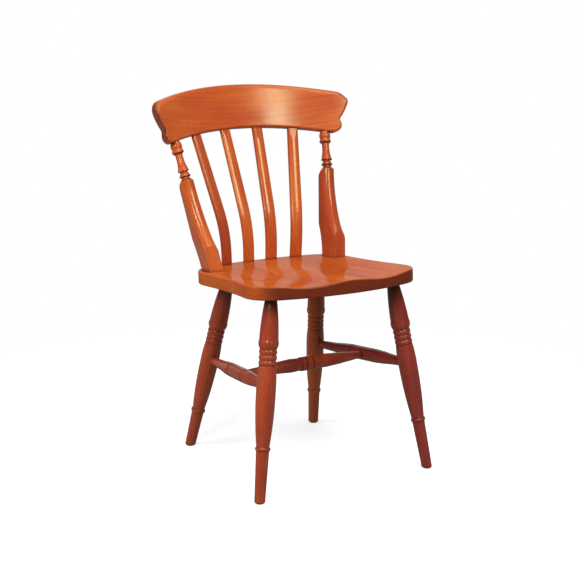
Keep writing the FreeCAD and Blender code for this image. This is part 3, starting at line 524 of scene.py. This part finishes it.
# %% [markdown]
# The chair stands on a plain white floor without a horizon.
# A large white plane would do, but its far end would turn grey where the lamps do not reach.
# So the floor's own picture fades to pure white away from the chair, and near the feet
# it stays a surface that takes a soft shadow. Its colour there is a little blue, which makes up
# for the warm lamps. In reflections the floor is dimmer, or the legs would look milky.

# %% Floor
floor_reach = 4.0
shadow_reach, white_reach = 0.75, 1.25
floor_white = (0.80, 0.85, 1.0, 1)
floor_bounce = (0.22, 0.22, 0.22, 1)
floor_glow = 0.55
floor_mirrored = 0.25


def how_seen(tree):
    """Two marks: 1 for what the camera sees, and 1 for what a reflection or glass shows."""
    path = add(tree, "ShaderNodeLightPath").outputs
    mirrored = calculate(tree, "MAXIMUM", path["Is Glossy Ray"], path["Is Transmission Ray"])
    return path["Is Camera Ray"], mirrored


def floor_finish():
    finish = new_finish("floor_white")
    tree = finish.node_tree
    by_camera, by_mirror = how_seen(tree)
    shaded = add(tree, "ShaderNodeBsdfDiffuse", {"Color": floor_white}).outputs[0]
    glow = add(tree, "ShaderNodeEmission", {"Strength": floor_glow}).outputs[0]
    near = add(tree, "ShaderNodeAddShader", {0: shaded, 1: glow}).outputs[0]
    white = add(tree, "ShaderNodeEmission", {"Strength": 1.0}).outputs[0]
    here = chair_places(tree)
    away = vector_sum(tree, "LENGTH", here, here).outputs["Value"]
    fade = remap(tree, away, shadow_reach, white_reach)
    picture = add(tree, "ShaderNodeMixShader", {0: fade, 1: near, 2: white}).outputs[0]
    bounce = add(tree, "ShaderNodeBsdfDiffuse", {"Color": floor_bounce}).outputs[0]
    mirrored = add(tree, "ShaderNodeEmission", {"Strength": floor_mirrored}).outputs[0]
    indirect = add(tree, "ShaderNodeMixShader", {0: by_mirror, 1: bounce, 2: mirrored}).outputs[0]
    finished(tree, add(tree, "ShaderNodeMixShader", {0: by_camera, 1: indirect, 2: picture}))
    return finish


corners = [(-floor_reach, -floor_reach, 0), (floor_reach, -floor_reach, 0),
           (floor_reach, floor_reach, 0), (-floor_reach, floor_reach, 0)]
floor_mesh = bpy.data.meshes.new("floor")
floor_mesh.from_pydata(corners, [], [(0, 1, 2, 3)])
floor_mesh.materials.append(floor_finish())
floor = bpy.data.objects.new("floor", floor_mesh)
scene.collection.objects.link(floor)
print(f"floor {2 * floor_reach:.0f} m square, white beyond {white_reach} m")

# %% [markdown]
# The sky round the floor is the same white in the picture, and lights the wood only weakly.
# What the lacquer mirrors is set by direction, as in a studio: a bright backdrop hangs behind
# the chair, where the seat reflects it, and the room in front is dim, so that the crest rail,
# the slats and the legs keep their deep colour and show the lamps alone.

# %% Sky and backdrop
sky_light = 0.22
room_mirrored = 0.10
backdrop_mirrored = 0.7
backdrop_edges = 0.6, 0.9

sky = bpy.data.worlds.new("white_sky")
sky.use_nodes = True
sky_tree = sky.node_tree
sky_tree.nodes.clear()
by_camera, by_mirror = how_seen(sky_tree)
outward = add(sky_tree, "ShaderNodeTexCoord").outputs["Generated"]
beyond_chair = -direction_from(camera_turn, 0)
toward = vector_sum(sky_tree, "DOT_PRODUCT", outward, beyond_chair).outputs["Value"]
backdrop = remap(sky_tree, toward, *backdrop_edges, room_mirrored, backdrop_mirrored)
indirect = add(sky_tree, "ShaderNodeMix", {0: by_mirror, 2: sky_light, 3: backdrop}).outputs[0]
level = calculate(sky_tree, "MAXIMUM", by_camera, indirect)
shine = add(sky_tree, "ShaderNodeBackground", {"Color": (1, 1, 1, 1), "Strength": level}).outputs[0]
add(sky_tree, "ShaderNodeOutputWorld", {"Surface": shine})
scene.world = sky
print(f"sky lights the wood at {sky_light}, backdrop mirrored at {backdrop_mirrored}")

# %% [markdown]
# Five lamps light the chair. The large box overhead lights the seat and the rounded top of the
# crest rail. A box high in front and another at the sitter's right model the shapes, and are
# kept out of the lacquer so that they leave no haze. The front lamp, a little to the sitter's
# left, is the golden patch in the middle of the crest rail and the long lines on the slats.
# The right lamp draws the fine lines on the turned pieces. Area lamps are used because their
# size is what makes a shadow soft and a highlight broad.

# %% Soft boxes
chair_middle = Vector((0, 0, 0.6))
warm_white = (1.0, 0.95, 0.78)


def soft_box(name, turn, rise, distance, width, height, watts, in_lacquer=False):
    """A lamp turned and raised by degrees as seen from the chair, and aimed at its middle."""
    lamp = bpy.data.lights.new(name, "AREA")
    lamp.shape = "RECTANGLE"
    lamp.size = width
    lamp.size_y = height
    lamp.energy = watts
    lamp.color = warm_white
    piece = bpy.data.objects.new(name, lamp)
    piece.location = chair_middle + direction_from(math.radians(turn), math.radians(rise)) * distance
    aim(piece, chair_middle)
    piece.visible_glossy = in_lacquer
    scene.collection.objects.link(piece)
    print(f"{name}: {width} by {height} m, {watts} W, {distance} m away")


soft_box("overhead_box", turn=0, rise=80, distance=2.4, width=2.0, height=2.0, watts=27,
         in_lacquer=True)
soft_box("high_front_box", turn=-15, rise=50, distance=2.6, width=0.8, height=0.8, watts=24)
soft_box("right_side_box", turn=-100, rise=15, distance=3.0, width=1.4, height=1.4, watts=42)
soft_box("front_lamp", turn=8, rise=34, distance=3.0, width=0.7, height=1.0, watts=27,
         in_lacquer=True)
soft_box("right_lamp", turn=-48, rise=26, distance=3.0, width=0.6, height=0.6, watts=20,
         in_lacquer=True)

# %% [markdown]
# Blender's usual view transform softens bright colours. The standard one shows each colour as it was
# mixed, which suits a plain studio picture.

# %% Finish
scene.view_settings.view_transform = "Standard"
